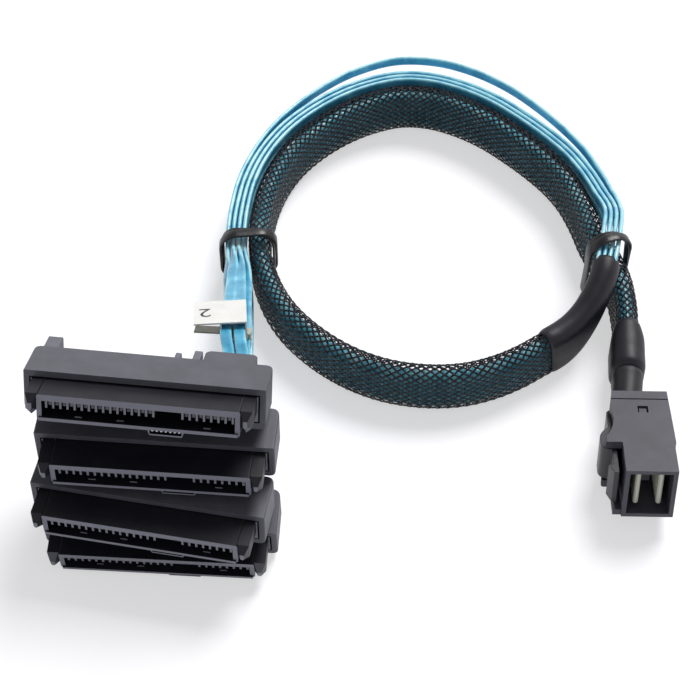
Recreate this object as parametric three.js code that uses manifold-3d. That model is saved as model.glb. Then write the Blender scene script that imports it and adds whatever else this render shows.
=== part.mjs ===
// Breakout cable: one small two-card plug, a braided sleeve bent into a loop, eight flat
// twin cables that leave the sleeve and run round its outside, and four wide drive
// connectors in a loose stack. Millimetres, +Z up, standing surface at Z = 0.
import * as THREE from 'three';
import { mergeVertices } from 'three/addons/utils/BufferGeometryUtils.js';
import Module from 'manifold-3d';

const wasm = await Module();
wasm.setup();

// Clearances
const seatGap = 0.3; // between a piece and the pocket it sits in
const contactGap = 0.1; // between a contact and the moulding beside it

// Drive connector, nose towards -Y, origin at the middle of the hood
const hoodWidth = 43.6;
const hoodDepth = 9.2;
const hoodHeight = 8;
const hoodBackRadius = 1.4;
const hoodFrontRadius = 0.3;
const hoodBottomRadius = 1.2;
const hoodTopRadius = 0.4;
const nosePocketDepth = 4.2;
const portPocketDepth = 2.5;

const noseWidth = 36.1;
const noseHeight = 5;
const noseLength = 5.8;
const noseRadius = 0.35;
const lipReach = 0.4; // how far the slot's lower lip stands forward of the upper one
const mouthWidth = 34.3;
const mouthTopWall = 1.2;
const mouthBottomWall = 0.65;
const mouthBackWall = 1.1;

const armWidth = 2.1;
const flangeRim = 0.25; // how far the flange stands out beside the arms
const armHeight = 4.2;
const armLead = 0.9; // how far an arm reaches past the nose
const armPoint = 1.3; // length of the pointed tip
const armPointScale = 0.35;
const flangeWidth = noseWidth + 2 * (armWidth + flangeRim);

const contactPitch = 1.27;
const powerContacts = 15;
const signalContacts = 7;
const firstPowerContact = -15.72; // centre of the leftmost contact
const firstSignalContact = 8.48;
const ribWidth = 0.4;
const ribHeight = 1.5;
const ribSetback = 0.3;
const contactWidth = 0.6;
const contactHeight = 0.9;
const contactBar = 0.8;

const sillCentre = 4.9; // the second port's sill under the nose
const sillWidth = 6.8;
const sillDrop = 1.2;
const sillLength = 4.4;
const sillWall = 0.55;
const sillContactPitch = 0.8;
const sillContactWidth = 0.4;

const bumpPlaces = [-10.75, -3.25, 12.15];
const bumpWidth = 1.3;
const bumpHeight = 0.25;

const bossCentre = 13.75;
const bossWidth = 9.5;
const bossLength = 3.5;
const bossHeight = 6.4;
const bossRadius = 1.2;
const cableExitWidth = 5.4;
const cableExitHeight = 3;
const cableExitDepth = 3;
const cableSeat = 1.6; // how far a cable's end stands inside the exit

// Power port at the back of a drive connector: [left edge, width, length]
const portHeight = 5;
const portLeft = -21.1;
const portWidth = 29.2;
const portPosts = [
  [-21.1, 2.8, 7.8],
  [3.1, 1.1, 5.7],
  [6.4, 1.5, 7],
];
const postHeight = 4.6;
const postTip = 0.8;
const tongueLeft = -17.5;
const tongueWidth = 19.8;
const tongueLength = 6;
const tongueThickness = 1.3;
const tongueTop = 0.7;
const tongueKey = 1.3;
const bladeWidth = 0.8;
const bladeThickness = 0.25;
const bladeLength = 5.2;
const bladeBar = 0.8;

// Where each drive connector lies: [x, y, z], yaw, pitch (nose up), in degrees
const stack = [
  { at: [-36.0, -35.7, 32.2], yaw: -6.4, pitch: 22.0 },
  { at: [-34.8, -39.2, 22.75], yaw: -4.7, pitch: 1.2 },
  { at: [-35.9, -45.9, 13.95], yaw: -10.6, pitch: 0.6 },
  { at: [-34.9, -44.7, 5.1], yaw: -3.6, pitch: -7.5 },
];

// Plug, mouth towards -Y, origin at the bottom of the mouth's middle
const plugLength = 22.7;
const plugHeight = 11.6;
const plugNoseWidth = 9.7;
const plugNoseLength = 8;
const plugShoulder = 3.15; // how far the latch side steps out behind the nose
const plugStep = 0.35; // the small step on the other side
const plugBackInset = 2.25; // how far the latch side draws in again at the back
const plugSideWall = 0.85;
const plugFloor = 0.85;
const plugRoof = 0.8;
const cavityDepth = 14;
const rearCoverDepth = 2.2;
const railReach = 1.6;
const railHeight = 1.3;

const bayInnerWall = 0.75; // wall left between the latch bay and the card cavity
const bayFloor = 1.7;
const bayRoof = 1.7;
const bayBackWall = 0.6;
const bayFrontGap = 1;
const roofScoop = 0.9;
const roofScoopLength = 8.4;
const roofScoopSetback = 7.5; // from the plug's back to the scoop's middle

const windowWidth = 2;
const windowLength = 1.9;
const windowCentreX = -0.2;
const windowSetback = 5.3; // from the plug's back to the window's middle
const tongueSlotHeight = 1.4;
const snapWall = 0.9;
const snapWidth = 1.4;

const cardThickness = 1;
const cardWidth = 8.2;
const cardPitch = 4.3;
const cardSetback = 1.9;
const cardChamfer = 0.3;
const spacerLength = 5;

const leverThickness = 0.95;
const leverKnuckle = 0.95;
const leverTip = 1.8;
const leverInnerGap = 0.9; // room for the arm to be pressed towards the nose
const leverPadReach = 8.7;
const leverPadFront = 8.9;
const leverPadBack = 13.2;
const leverHook = 0.9;

const plugPlace = { at: [55.6, -44.4, 4.28], yaw: -1.2, pitch: 10.6 };

// Cable sections
const sleeveWidth = 4.6;
const sleeveHeight = 11.3;
const sleeveSteps = 38;
const twinThickness = 0.9;
const twinHeight = 2.2;
const twinPitch = 1.12;
const twinRowPitch = 2.45;
const twinSteps = 40;
const twinColumns = 4;
const twinSpreadAtBoss = 1.3;

// Route of the sleeve's middle line, from the plug's heat-shrink round to the transition
const sleeveRoute = [
  [55.3, -1.0, 5.8], [55.5, 2.5, 5.8], [55.4, 6.2, 6.0], [55.0, 10.0, 6.4], [54.0, 14.2, 6.6],
  [52.3, 19.0, 6.5], [50.3, 25.3, 6.1], [48.9, 31.6, 5.8], [46.6, 38.5, 5.8], [43.6, 44.0, 5.8],
  [39.6, 49.2, 5.8], [35.0, 54.2, 5.8], [29.6, 59.2, 5.8], [23.4, 63.2, 5.8], [17.4, 65.5, 5.8],
  [11.4, 65.9, 5.8], [4.9, 63.9, 5.8], [-1.2, 60.4, 5.8], [-7.0, 55.4, 5.8], [-11.6, 49.8, 5.8],
  [-15.0, 43.4, 5.8], [-17.2, 36.6, 5.8], [-18.3, 29.9, 6.1], [-18.7, 24.6, 6.5], [-18.6, 19.6, 6.6],
  [-17.6, 14.0, 6.3], [-15.6, 8.2, 5.9], [-12.9, 3.0, 5.8], [-9.4, -1.6, 5.8], [-4.4, -6.4, 5.8],
  [1.2, -10.2, 5.8], [7.6, -12.9, 5.8], [15.2, -14.2, 5.8], [22.4, -13.8, 5.8], [28.8, -11.8, 5.8],
  [33.8, -9.2, 5.8], [37.6, -6.6, 5.8],
];

// Route of the middle of the eight flat cables, from the transition to the left tie
const bundleRoute = [
  [51.9, 11.6, 15.0], [52.5, 14.9, 15.1], [53.3, 18.4, 14.9], [54.8, 22.8, 14.2], [55.5, 27.4, 11.6],
  [54.6, 33.0, 9.6], [51.4, 40.2, 9.0], [47.8, 46.4, 9.0], [43.3, 52.3, 9.0], [38.3, 57.7, 9.0],
  [32.3, 63.2, 9.0], [25.4, 67.6, 9.0], [18.3, 70.3, 9.0], [10.9, 70.8, 9.0], [2.9, 68.4, 9.0],
  [-4.0, 64.4, 9.0], [-10.4, 58.9, 9.0], [-15.5, 52.7, 9.0], [-19.3, 45.6, 9.0], [-21.8, 38.0, 9.0],
  [-23.0, 30.6, 9.0], [-23.45, 25.0, 9.0], [-23.45, 19.6, 9.0],
];

// How far the loose outermost cable bows away from the others at each of those points
const looseBow = [
  0, 0, 0, 0, 0, 0.2, 0.5, 1.0, 1.7, 2.4, 3.0, 3.5, 3.7, 3.5, 2.6, 1.6, 0.8, 0.3, 0, 0, 0, 0, 0,
];

// The last stretch of each drive connector's pair of cables: [x, y, z, half the spread]
const pairTails = [
  [[-23.0, 14, 12.5, 0.62], [-22.6, 4, 16.6, 0.85], [-22.3, -8, 21.9, 1.15], [-21.9, -19, 27.0, 1.3]],
  [[-23.0, 14, 10.6, 1.9], [-22.4, 4, 13.2, 1.75], [-21.8, -8, 17.6, 1.5], [-21.1, -19, 22.2, 1.3]],
  [[-23.0, 14, 7.8, 0.62], [-22.4, 4, 8.0, 0.85], [-21.9, -8, 10.0, 1.15], [-21.4, -20, 13.0, 1.3]],
  [[-23.0, 14, 5.9, 1.9], [-22.4, 4, 4.2, 1.75], [-21.9, -8, 3.5, 1.5], [-21.2, -21, 4.9, 1.3]],
];

// Which lanes of the bundle feed each connector: [column of the outer cable, inner cable, row]
const pairLanes = [
  [2, 1, 1],
  [3, 0, 1],
  [2, 1, 0],
  [3, 0, 0],
];

// Heat-shrink tubes: [x, y, z, width, height] of each ring
const plugShrinkRings = [
  [54.65, -12.3, 6.1, 6.0, 8.8], [54.7, -11.4, 6.1, 6.8, 9.8], [54.9, -8.0, 6.1, 6.9, 10.6],
  [55.15, -4.6, 6.1, 6.6, 11.4], [55.25, -2.6, 6.1, 5.6, 11.7], [55.3, -1.3, 6.1, 5.0, 11.7],
];
const collarRings = [
  [53.66, -19.9, 6.0, 5.6, 7.6], [54.0, -17.6, 6.0, 5.8, 8.0], [54.4, -14.6, 6.05, 5.9, 8.4], [54.6, -12.6, 6.1, 5.9, 8.6],
];
const transitionRings = [
  [38.9, -5.7, 6.0, 5.3, 11.6], [41.8, -3.8, 6.4, 5.4, 11.4], [44.7, -1.5, 7.7, 5.3, 10.2], [47.4, 1.5, 9.8, 5.2, 8.6],
  [49.5, 4.7, 12.3, 5.4, 7.0], [50.9, 7.7, 14.1, 5.6, 6.2], [51.6, 10.7, 14.8, 5.7, 6.1],
];

// Ties: middle, the way the cables run through them, outline and band
const tieBand = 3;
const tieThickness = 0.8;
const tieLift = 0.1; // height of a band's lowest point
const ties = {
  left: { at: [-21.15, 20.6], heading: 92, width: 12.5, height: 13.5, lower: 3.6, upper: 4.4 },
  right: { at: [52.85, 14.4], heading: 106, width: 11.3, height: 18.8, lower: 4.2, upper: 4.5 },
};

// Labels: pair, distance along its last stretch, length, flag's reach and turn
const labelPaper = 0.3;
const labelClear = 0.48;
const labels = [
  { y: -13.0, z: 24.35, x: -22.1, slope: -24, length: 10, flag: 5.2, turn: 4 },
  { y: -14.2, z: 20.1, x: -21.45, slope: -22, length: 2.6, flag: 6, turn: -4 },
  { y: -16.5, z: 12.1, x: -21.55, slope: -14, length: 4, flag: 5, turn: 10 },
  { y: -6.6, z: 3.45, x: -22.0, slope: 3, length: 1.8, flag: 1.2, turn: -4 },
];

const materials = {
  hood: finish(0x34343b, 0.5, 0),
  nose: finish(0x1d1d24, 0.45, 0),
  contact: finish(0x7c7c86, 0.35, 0.9),
  blade: finish(0xb79a55, 0.3, 1),
  plug: finish(0x3c3c44, 0.45, 0),
  card: finish(0xd8d5b4, 0.5, 0),
  lever: finish(0x33333a, 0.4, 0),
  shrink: finish(0x222228, 0.6, 0),
  collar: finish(0x1c1c22, 0.55, 0),
  sleeve: finish(0x14242e, 0.6, 0),
  twin: finish(0x4fb6d9, 0.35, 0),
  tie: finish(0x1a1a1f, 0.3, 0),
  label: finish(0xf2f2ee, 0.6, 0),
};

function finish(color, roughness, metalness) {
  return new THREE.MeshStandardMaterial({ color, roughness, metalness });
}

// Solids

function toSolid(geometry) {
  const bare = geometry.clone();
  bare.deleteAttribute('normal');
  bare.deleteAttribute('uv');
  const merged = mergeVertices(bare, 1e-4);
  return new wasm.Manifold(new wasm.Mesh({
    numProp: 3,
    vertProperties: new Float32Array(merged.attributes.position.array),
    triVerts: new Uint32Array(merged.index.array),
  }));
}

function toGeometry(solid) {
  const mesh = solid.getMesh();
  const geometry = new THREE.BufferGeometry();
  geometry.setAttribute('position', new THREE.BufferAttribute(new Float32Array(mesh.vertProperties), 3));
  geometry.setIndex(new THREE.BufferAttribute(new Uint32Array(mesh.triVerts), 1));
  geometry.computeVertexNormals();
  return geometry;
}

function join(...geometries) {
  return geometries.map(toSolid).reduce((whole, next) => whole.add(next));
}

function cut(solid, ...geometries) {
  return geometries.map(toSolid).reduce((left, next) => left.subtract(next), solid);
}

function block(x0, x1, y0, y1, z0, z1) {
  const geometry = new THREE.BoxGeometry(x1 - x0, y1 - y0, z1 - z0);
  return geometry.translate((x0 + x1) / 2, (y0 + y1) / 2, (z0 + z1) / 2);
}

// Outline with its own corner radii, counter-clockwise from the lower left
function roundedRect(x0, x1, y0, y1, [lowerLeft, lowerRight, upperRight, upperLeft]) {
  const shape = new THREE.Shape();
  shape.moveTo(x0 + lowerLeft, y0);
  shape.lineTo(x1 - lowerRight, y0);
  if (lowerRight) shape.absarc(x1 - lowerRight, y0 + lowerRight, lowerRight, -Math.PI / 2, 0, false);
  shape.lineTo(x1, y1 - upperRight);
  if (upperRight) shape.absarc(x1 - upperRight, y1 - upperRight, upperRight, 0, Math.PI / 2, false);
  shape.lineTo(x0 + upperLeft, y1);
  if (upperLeft) shape.absarc(x0 + upperLeft, y1 - upperLeft, upperLeft, Math.PI / 2, Math.PI, false);
  shape.lineTo(x0, y0 + lowerLeft);
  if (lowerLeft) shape.absarc(x0 + lowerLeft, y0 + lowerLeft, lowerLeft, Math.PI, 1.5 * Math.PI, false);
  return shape;
}

function polygon(points) {
  return new THREE.Shape(points.map(([x, y]) => new THREE.Vector2(x, y)));
}

function extrudeZ(shape, z0, z1, curveSegments = 4) {
  const geometry = new THREE.ExtrudeGeometry(shape, { depth: z1 - z0, bevelEnabled: false, curveSegments });
  return geometry.translate(0, 0, z0);
}

// The shape is drawn in X and Z and runs from y0 to y1
function extrudeY(shape, y0, y1, curveSegments = 4) {
  const geometry = new THREE.ExtrudeGeometry(shape, { depth: y1 - y0, bevelEnabled: false, curveSegments });
  return geometry.rotateX(Math.PI / 2).translate(0, y1, 0);
}

// Prism along Y from its root to its end, the last stretch drawn in towards (x, z)
function tippedPrism(shape, root, end, tip, [x, z], scale) {
  const geometry = new THREE.ExtrudeGeometry(
    shape, { depth: Math.abs(end - root), bevelEnabled: false, steps: 2, curveSegments: 2 },
  );
  geometry.rotateX(Math.PI / 2).translate(0, Math.max(root, end), 0);
  const shoulder = end - Math.sign(end - root) * tip;
  const position = geometry.attributes.position;
  for (let i = 0; i < position.count; i += 1) {
    const share = (position.getY(i) - root) / (end - root);
    if (share > 0.75) {
      position.setX(i, x + (position.getX(i) - x) * scale);
      position.setZ(i, z + (position.getZ(i) - z) * scale);
    } else if (share > 0.25) {
      position.setY(i, shoulder);
    }
  }
  return geometry;
}

// Closed skin over rings of equally many points, with flat ends
function loft(rings) {
  const sides = rings[0].length;
  const positions = rings.flat().flatMap((point) => [point.x, point.y, point.z]);
  const index = [];
  for (let ring = 0; ring + 1 < rings.length; ring += 1) {
    for (let side = 0; side < sides; side += 1) {
      const a = ring * sides + side;
      const b = ring * sides + (side + 1) % sides;
      index.push(a, b + sides, b, a, a + sides, b + sides);
    }
  }
  const last = (rings.length - 1) * sides;
  for (let side = 1; side + 1 < sides; side += 1) {
    index.push(0, side, side + 1);
    index.push(last, last + side + 1, last + side);
  }
  const geometry = new THREE.BufferGeometry();
  geometry.setAttribute('position', new THREE.BufferAttribute(new Float32Array(positions), 3));
  geometry.setIndex(index);
  geometry.computeVertexNormals();
  return geometry;
}

// Points round a flat section with two round edges: [across, up]
function stadium(width, height, edgePoints) {
  const radius = width / 2;
  const rise = height / 2 - radius;
  const points = [];
  for (const end of [1, -1]) {
    for (let i = 0; i < edgePoints; i += 1) {
      const angle = (Math.PI * i) / (edgePoints - 1);
      points.push([end * radius * Math.cos(angle), end * (rise + radius * Math.sin(angle))]);
    }
  }
  return points;
}

// Tube over [x, y, z, width, height] rings that stand upright across the route
function shrinkTube(rings) {
  const route = new THREE.CatmullRomCurve3(rings.map(([x, y, z]) => new THREE.Vector3(x, y, z)));
  const sections = rings.map(([x, y, z, width, height], i) => {
    const tangent = route.getTangent(i / (rings.length - 1));
    const across = new THREE.Vector3(tangent.y, -tangent.x, 0).normalize();
    const up = new THREE.Vector3().crossVectors(across, tangent).normalize();
    return stadium(width, height, 6).map(([side, rise]) => (
      new THREE.Vector3(x, y, z).addScaledVector(across, side).addScaledVector(up, rise)
    ));
  });
  return loft(sections);
}

function cordTube(points, section, steps) {
  const path = new THREE.CatmullRomCurve3(points.map(([x, y, z]) => new THREE.Vector3(x, y, z)));
  const shape = polygon(section.map(([across, up]) => [up, across]));
  return new THREE.ExtrudeGeometry(shape, { extrudePath: path, steps, bevelEnabled: false });
}

function place(group, { at: [x, y, z], yaw, pitch }) {
  group.position.set(x, y, z);
  group.rotation.order = 'ZXY';
  group.rotation.set(THREE.MathUtils.degToRad(-pitch), 0, THREE.MathUtils.degToRad(yaw));
  group.updateMatrixWorld(true);
}

function addMesh(group, name, geometry, material) {
  const mesh = new THREE.Mesh(geometry, material);
  mesh.name = name;
  group.add(mesh);
}

// Drive connector

const hoodFront = -hoodDepth / 2;
const hoodBack = hoodDepth / 2;
const hoodTop = hoodHeight / 2;
const noseFront = hoodFront - noseLength;
const flangeBack = hoodFront + nosePocketDepth - seatGap;
const mouthTop = noseHeight / 2 - mouthTopWall;
const mouthBottom = -noseHeight / 2 + mouthBottomWall;
const mouthBack = flangeBack - mouthBackWall;

function contactPlaces() {
  const power = Array.from({ length: powerContacts }, (_, i) => firstPowerContact + i * contactPitch);
  const signal = Array.from({ length: signalContacts }, (_, i) => firstSignalContact + i * contactPitch);
  return { power, signal };
}

function makeHood() {
  const plan = roundedRect(
    -hoodWidth / 2, hoodWidth / 2, hoodFront, hoodBack,
    [hoodFrontRadius, hoodFrontRadius, hoodBackRadius, hoodBackRadius],
  );
  const section = roundedRect(
    -hoodWidth / 2, hoodWidth / 2, -hoodTop, hoodTop,
    [hoodBottomRadius, hoodBottomRadius, hoodTopRadius, hoodTopRadius],
  );
  const bossPlan = roundedRect(
    bossCentre - bossWidth / 2, bossCentre + bossWidth / 2, 0, hoodBack + bossLength,
    [0, 0, bossRadius, bossRadius],
  );
  const body = toSolid(extrudeZ(plan, -hoodTop, hoodTop)).intersect(toSolid(extrudeY(section, hoodFront, hoodBack)));
  const boss = toSolid(extrudeZ(bossPlan, hoodTop - bossHeight, hoodTop));
  const pocketWidth = flangeWidth / 2 + seatGap;
  const pocketHeight = noseHeight / 2 + seatGap;
  const portPocketHeight = portHeight / 2 + seatGap;
  const exitMiddle = hoodTop - bossHeight / 2;
  return cut(
    body.add(boss),
    block(-pocketWidth, pocketWidth, hoodFront - 1, hoodFront + nosePocketDepth, -pocketHeight, pocketHeight),
    block(
      portLeft - seatGap, portLeft + portWidth + seatGap, hoodBack - portPocketDepth, hoodBack + 1,
      -portPocketHeight, portPocketHeight,
    ),
    block(
      bossCentre - cableExitWidth / 2, bossCentre + cableExitWidth / 2,
      hoodBack + bossLength - cableExitDepth, hoodBack + bossLength + 1,
      exitMiddle - cableExitHeight / 2, exitMiddle + cableExitHeight / 2,
    ),
  );
}

function makeArm(side) {
  const inner = noseWidth / 2 - 0.05;
  const outer = noseWidth / 2 + armWidth;
  const top = noseHeight / 2;
  const shape = polygon([
    [side * inner, top],
    [side * outer, top],
    [side * outer, top - armHeight + armWidth / 2],
    [side * (inner + outer) / 2, top - armHeight],
    [side * inner, top - armHeight + armWidth / 2],
  ]);
  const middle = [side * (inner + outer) / 2, top - armHeight / 2];
  return tippedPrism(shape, flangeBack, noseFront - armLead, armPoint, middle, armPointScale);
}

function makeNose() {
  const outline = roundedRect(
    -noseWidth / 2, noseWidth / 2, -noseHeight / 2, noseHeight / 2,
    [noseRadius, noseRadius, noseRadius, noseRadius],
  );
  const sill = polygon([
    [sillCentre - sillWidth / 2, -noseHeight / 2 + 0.2],
    [sillCentre - sillWidth / 2 + 0.5, -noseHeight / 2 - sillDrop],
    [sillCentre + sillWidth / 2 - 0.5, -noseHeight / 2 - sillDrop],
    [sillCentre + sillWidth / 2, -noseHeight / 2 + 0.2],
  ]);
  const shell = join(
    extrudeY(outline, noseFront, flangeBack),
    block(-flangeWidth / 2, flangeWidth / 2, hoodFront, flangeBack, -noseHeight / 2, noseHeight / 2),
    makeArm(-1),
    makeArm(1),
    extrudeY(sill, noseFront, noseFront + sillLength),
    block(
      -noseWidth / 2 + noseRadius, noseWidth / 2 - noseRadius, noseFront - lipReach, noseFront + 1,
      -noseHeight / 2, mouthBottom,
    ),
  );
  const sillTop = -noseHeight / 2 + 0.05;
  const hollow = cut(
    shell,
    block(-mouthWidth / 2, mouthWidth / 2, noseFront - 1, mouthBack, mouthBottom, mouthTop),
    block(
      sillCentre - sillWidth / 2 + sillWall, sillCentre + sillWidth / 2 - sillWall,
      noseFront - 1, noseFront + sillLength - sillWall,
      -noseHeight / 2 - sillDrop + sillWall / 2, sillTop,
    ),
  );
  const { power, signal } = contactPlaces();
  const ribAt = (x) => block(
    x - ribWidth / 2, x + ribWidth / 2, noseFront + ribSetback, mouthBack - contactBar - 2 * contactGap,
    mouthTop - ribHeight, mouthTop + 0.1,
  );
  const between = (places) => [...places, places.at(-1) + contactPitch].map((x) => ribAt(x - contactPitch / 2));
  const bumps = bumpPlaces.map((x) => block(
    x - bumpWidth / 2, x + bumpWidth / 2, noseFront + 0.6, noseFront + 2.4, mouthBottom - 0.1, mouthBottom + bumpHeight,
  ));
  return [...between(power), ...between(signal), ...bumps].map(toSolid).reduce((whole, next) => whole.add(next), hollow);
}

// Contacts of one row, held together at the back by their strip
function makeContacts() {
  const { power, signal } = contactPlaces();
  const top = mouthTop - contactGap;
  const bottom = top - contactHeight;
  const barBack = mouthBack - contactGap;
  const strip = block(
    power[0] - contactWidth / 2, signal.at(-1) + contactWidth / 2, barBack - contactBar, barBack, bottom, top,
  );
  const fingers = [...power, ...signal].map((x) => block(
    x - contactWidth / 2, x + contactWidth / 2, noseFront + 2 * ribSetback, barBack - contactBar / 2, bottom, top,
  ));
  return join(strip, ...fingers);
}

function makeSillContacts() {
  const top = -noseHeight / 2 - 0.2;
  const bottom = top - 0.35;
  const back = noseFront + sillLength - sillWall - contactGap;
  const half = ((signalContacts - 1) / 2) * sillContactPitch + sillContactWidth / 2;
  const strip = block(sillCentre - half, sillCentre + half, back - 0.8, back, bottom, top);
  const fingers = Array.from({ length: signalContacts }, (_, i) => {
    const x = sillCentre + (i - (signalContacts - 1) / 2) * sillContactPitch;
    return block(x - sillContactWidth / 2, x + sillContactWidth / 2, noseFront + 0.2, back - 0.4, bottom, top);
  });
  return join(strip, ...fingers);
}

const portBaseBack = hoodBack - portPocketDepth + seatGap;
const bladeBottom = tongueTop + contactGap;
const firstBlade = tongueLeft + (tongueWidth - (powerContacts - 1) * contactPitch) / 2;

function makePowerPort() {
  const posts = portPosts.map(([left, width, length]) => tippedPrism(
    roundedRect(left, left + width, -postHeight / 2, postHeight / 2, [0.2, 0.2, 0.2, 0.2]),
    hoodBack - 0.5, hoodBack + length, postTip, [left + width / 2, 0], 0.75,
  ));
  const tongue = polygon([
    [tongueLeft, tongueTop - tongueThickness],
    [tongueLeft + tongueWidth - tongueKey, tongueTop - tongueThickness],
    [tongueLeft + tongueWidth - tongueKey, tongueTop - 2 * tongueThickness],
    [tongueLeft + tongueWidth, tongueTop - 2 * tongueThickness],
    [tongueLeft + tongueWidth, tongueTop],
    [tongueLeft, tongueTop],
  ]);
  return cut(
    join(
      block(portLeft, portLeft + portWidth, portBaseBack, hoodBack, -portHeight / 2, portHeight / 2),
      extrudeY(tongue, hoodBack - 0.5, hoodBack + tongueLength),
      ...posts,
    ),
    block(
      firstBlade - bladeWidth / 2 - seatGap, firstBlade + (powerContacts - 1) * contactPitch + bladeWidth / 2 + seatGap,
      portBaseBack - 1, hoodBack + 1, tongueTop, bladeBottom + bladeThickness + contactGap,
    ),
  );
}

function makePowerBlades() {
  const top = bladeBottom + bladeThickness;
  const lastBlade = firstBlade + (powerContacts - 1) * contactPitch;
  const back = portBaseBack + 0.4;
  const bar = block(firstBlade - bladeWidth / 2, lastBlade + bladeWidth / 2, back, back + bladeBar, bladeBottom, top);
  const blades = Array.from({ length: powerContacts }, (_, i) => {
    const x = firstBlade + i * contactPitch;
    return block(x - bladeWidth / 2, x + bladeWidth / 2, back + bladeBar / 2, hoodBack + bladeLength, bladeBottom, top);
  });
  return join(bar, ...blades);
}

function buildDriveConnector(number, spot) {
  const group = new THREE.Group();
  const name = (piece) => `drive_${number}_${piece}`;
  addMesh(group, name('hood'), toGeometry(makeHood()), materials.hood);
  addMesh(group, name('nose'), toGeometry(makeNose()), materials.nose);
  addMesh(group, name('contacts'), toGeometry(makeContacts()), materials.contact);
  addMesh(group, name('sill_contacts'), toGeometry(makeSillContacts()), materials.contact);
  addMesh(group, name('power_port'), toGeometry(makePowerPort()), materials.hood);
  addMesh(group, name('power_blades'), toGeometry(makePowerBlades()), materials.blade);
  place(group, spot);
  return group;
}

// Plug

const noseSide = plugNoseWidth / 2;
const shoulderX = -noseSide - plugShoulder;
const coverFront = plugLength - rearCoverDepth;
const cavitySide = noseSide - plugSideWall;
const bayInnerX = -cavitySide - bayInnerWall;
const shellBack = coverFront - seatGap;
const bayBack = shellBack - bayBackWall;
const roofScoopCentre = plugLength - roofScoopSetback;
const windowCentreY = plugLength - windowSetback;

function plugLatchSide(y) {
  const share = (y - plugNoseLength) / (plugLength - plugNoseLength);
  return shoulderX + plugBackInset * share;
}

function plugFarSide(y) {
  const share = (y - plugNoseLength) / (plugLength - plugNoseLength);
  return noseSide + plugStep * (1 - share);
}

function makePlugHousing() {
  const plan = polygon([
    [-noseSide, 0],
    [noseSide, 0],
    [noseSide, plugNoseLength - 0.5],
    [plugFarSide(plugNoseLength), plugNoseLength + 0.2],
    [plugFarSide(shellBack), shellBack],
    [plugLatchSide(shellBack), shellBack],
    [shoulderX, plugNoseLength + 0.8],
    [shoulderX, plugNoseLength],
    [-noseSide, plugNoseLength],
  ]);
  const section = roundedRect(shoulderX - 0.01, noseSide + plugStep + 0.01, 0, plugHeight, [0.5, 0.5, 0.3, 0.3]);
  const body = toSolid(extrudeZ(plan, 0, plugHeight)).intersect(toSolid(extrudeY(section, -1, plugLength)));
  const rail = polygon([
    [-noseSide + 0.1, 0],
    [-noseSide + 0.1, railHeight],
    [-noseSide - railReach + 0.4, railHeight],
    [-noseSide - railReach, railHeight - 0.5],
    [-noseSide - railReach, 0],
  ]);
  const scoopRadius = (roofScoopLength ** 2 / 4 + roofScoop ** 2) / (2 * roofScoop);
  const scoop = new THREE.CylinderGeometry(scoopRadius, scoopRadius, bayRoof + 2, 96);
  scoop.rotateX(Math.PI / 2);
  scoop.translate(plugLatchSide(roofScoopCentre) + roofScoop - scoopRadius, roofScoopCentre, plugHeight - bayRoof / 2 + 0.5);
  return cut(
    body.add(toSolid(extrudeY(rail, 0.5, plugNoseLength + 0.1))),
    block(-cavitySide, cavitySide, -1, cavityDepth, plugFloor, plugHeight - plugRoof),
    block(shoulderX - 1, bayInnerX, plugNoseLength - bayFrontGap, bayBack, bayFloor, plugHeight - bayRoof),
    block(
      windowCentreX - windowWidth / 2, windowCentreX + windowWidth / 2,
      windowCentreY - windowLength / 2, windowCentreY + windowLength / 2,
      plugHeight - snapWall - 0.1, plugHeight + 1,
    ),
    block(
      windowCentreX - windowWidth / 2, windowCentreX + windowWidth / 2,
      windowCentreY - windowLength / 2 - 0.6, shellBack + 1,
      plugHeight - snapWall - tongueSlotHeight, plugHeight - snapWall,
    ),
    scoop,
  );
}

function makeRearCover() {
  const plan = polygon([
    [plugFarSide(coverFront), coverFront],
    [plugFarSide(plugLength), plugLength],
    [plugLatchSide(plugLength), plugLength],
    [plugLatchSide(coverFront), coverFront],
  ]);
  const section = roundedRect(shoulderX, noseSide + plugStep, 0, plugHeight, [0.5, 0.5, 0.3, 0.3]);
  const cover = toSolid(extrudeZ(plan, 0, plugHeight)).intersect(toSolid(extrudeY(section, 0, plugLength + 1)));
  const tongueHigh = plugHeight - snapWall - seatGap;
  const tongueLow = plugHeight - snapWall - tongueSlotHeight + seatGap;
  const snapStart = windowCentreY - windowLength / 2 + seatGap;
  const tongue = block(
    windowCentreX - snapWidth / 2, windowCentreX + snapWidth / 2, snapStart, coverFront + 0.5, tongueLow, tongueHigh,
  );
  const snap = block(
    windowCentreX - snapWidth / 2, windowCentreX + snapWidth / 2, snapStart, snapStart + 1.2,
    tongueLow, plugHeight - 0.35,
  );
  const [collarX, , , collarWidth, collarHeight] = collarRings[0];
  const seatX = collarX - plugPlace.at[0] - 0.62;
  const collarSeat = block(
    seatX - collarWidth / 2 - seatGap, seatX + collarWidth / 2 + seatGap, plugLength - 1, plugLength + 1,
    plugHeight / 2 - collarHeight / 2 - 2 * seatGap, plugHeight / 2 + collarHeight / 2 + 2 * seatGap,
  );
  return cut(cover.add(toSolid(tongue)).add(toSolid(snap)), collarSeat);
}

function makePaddleCard(side) {
  const middle = side * cardPitch / 2;
  const low = (plugFloor + plugHeight - plugRoof - cardWidth) / 2;
  const shape = polygon([
    [middle - cardThickness / 2, cardSetback + cardChamfer],
    [middle - cardThickness / 2 + cardChamfer, cardSetback],
    [middle + cardThickness / 2 - cardChamfer, cardSetback],
    [middle + cardThickness / 2, cardSetback + cardChamfer],
    [middle + cardThickness / 2, cavityDepth - seatGap],
    [middle - cardThickness / 2, cavityDepth - seatGap],
  ]);
  return extrudeZ(shape, low, low + cardWidth);
}

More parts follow.
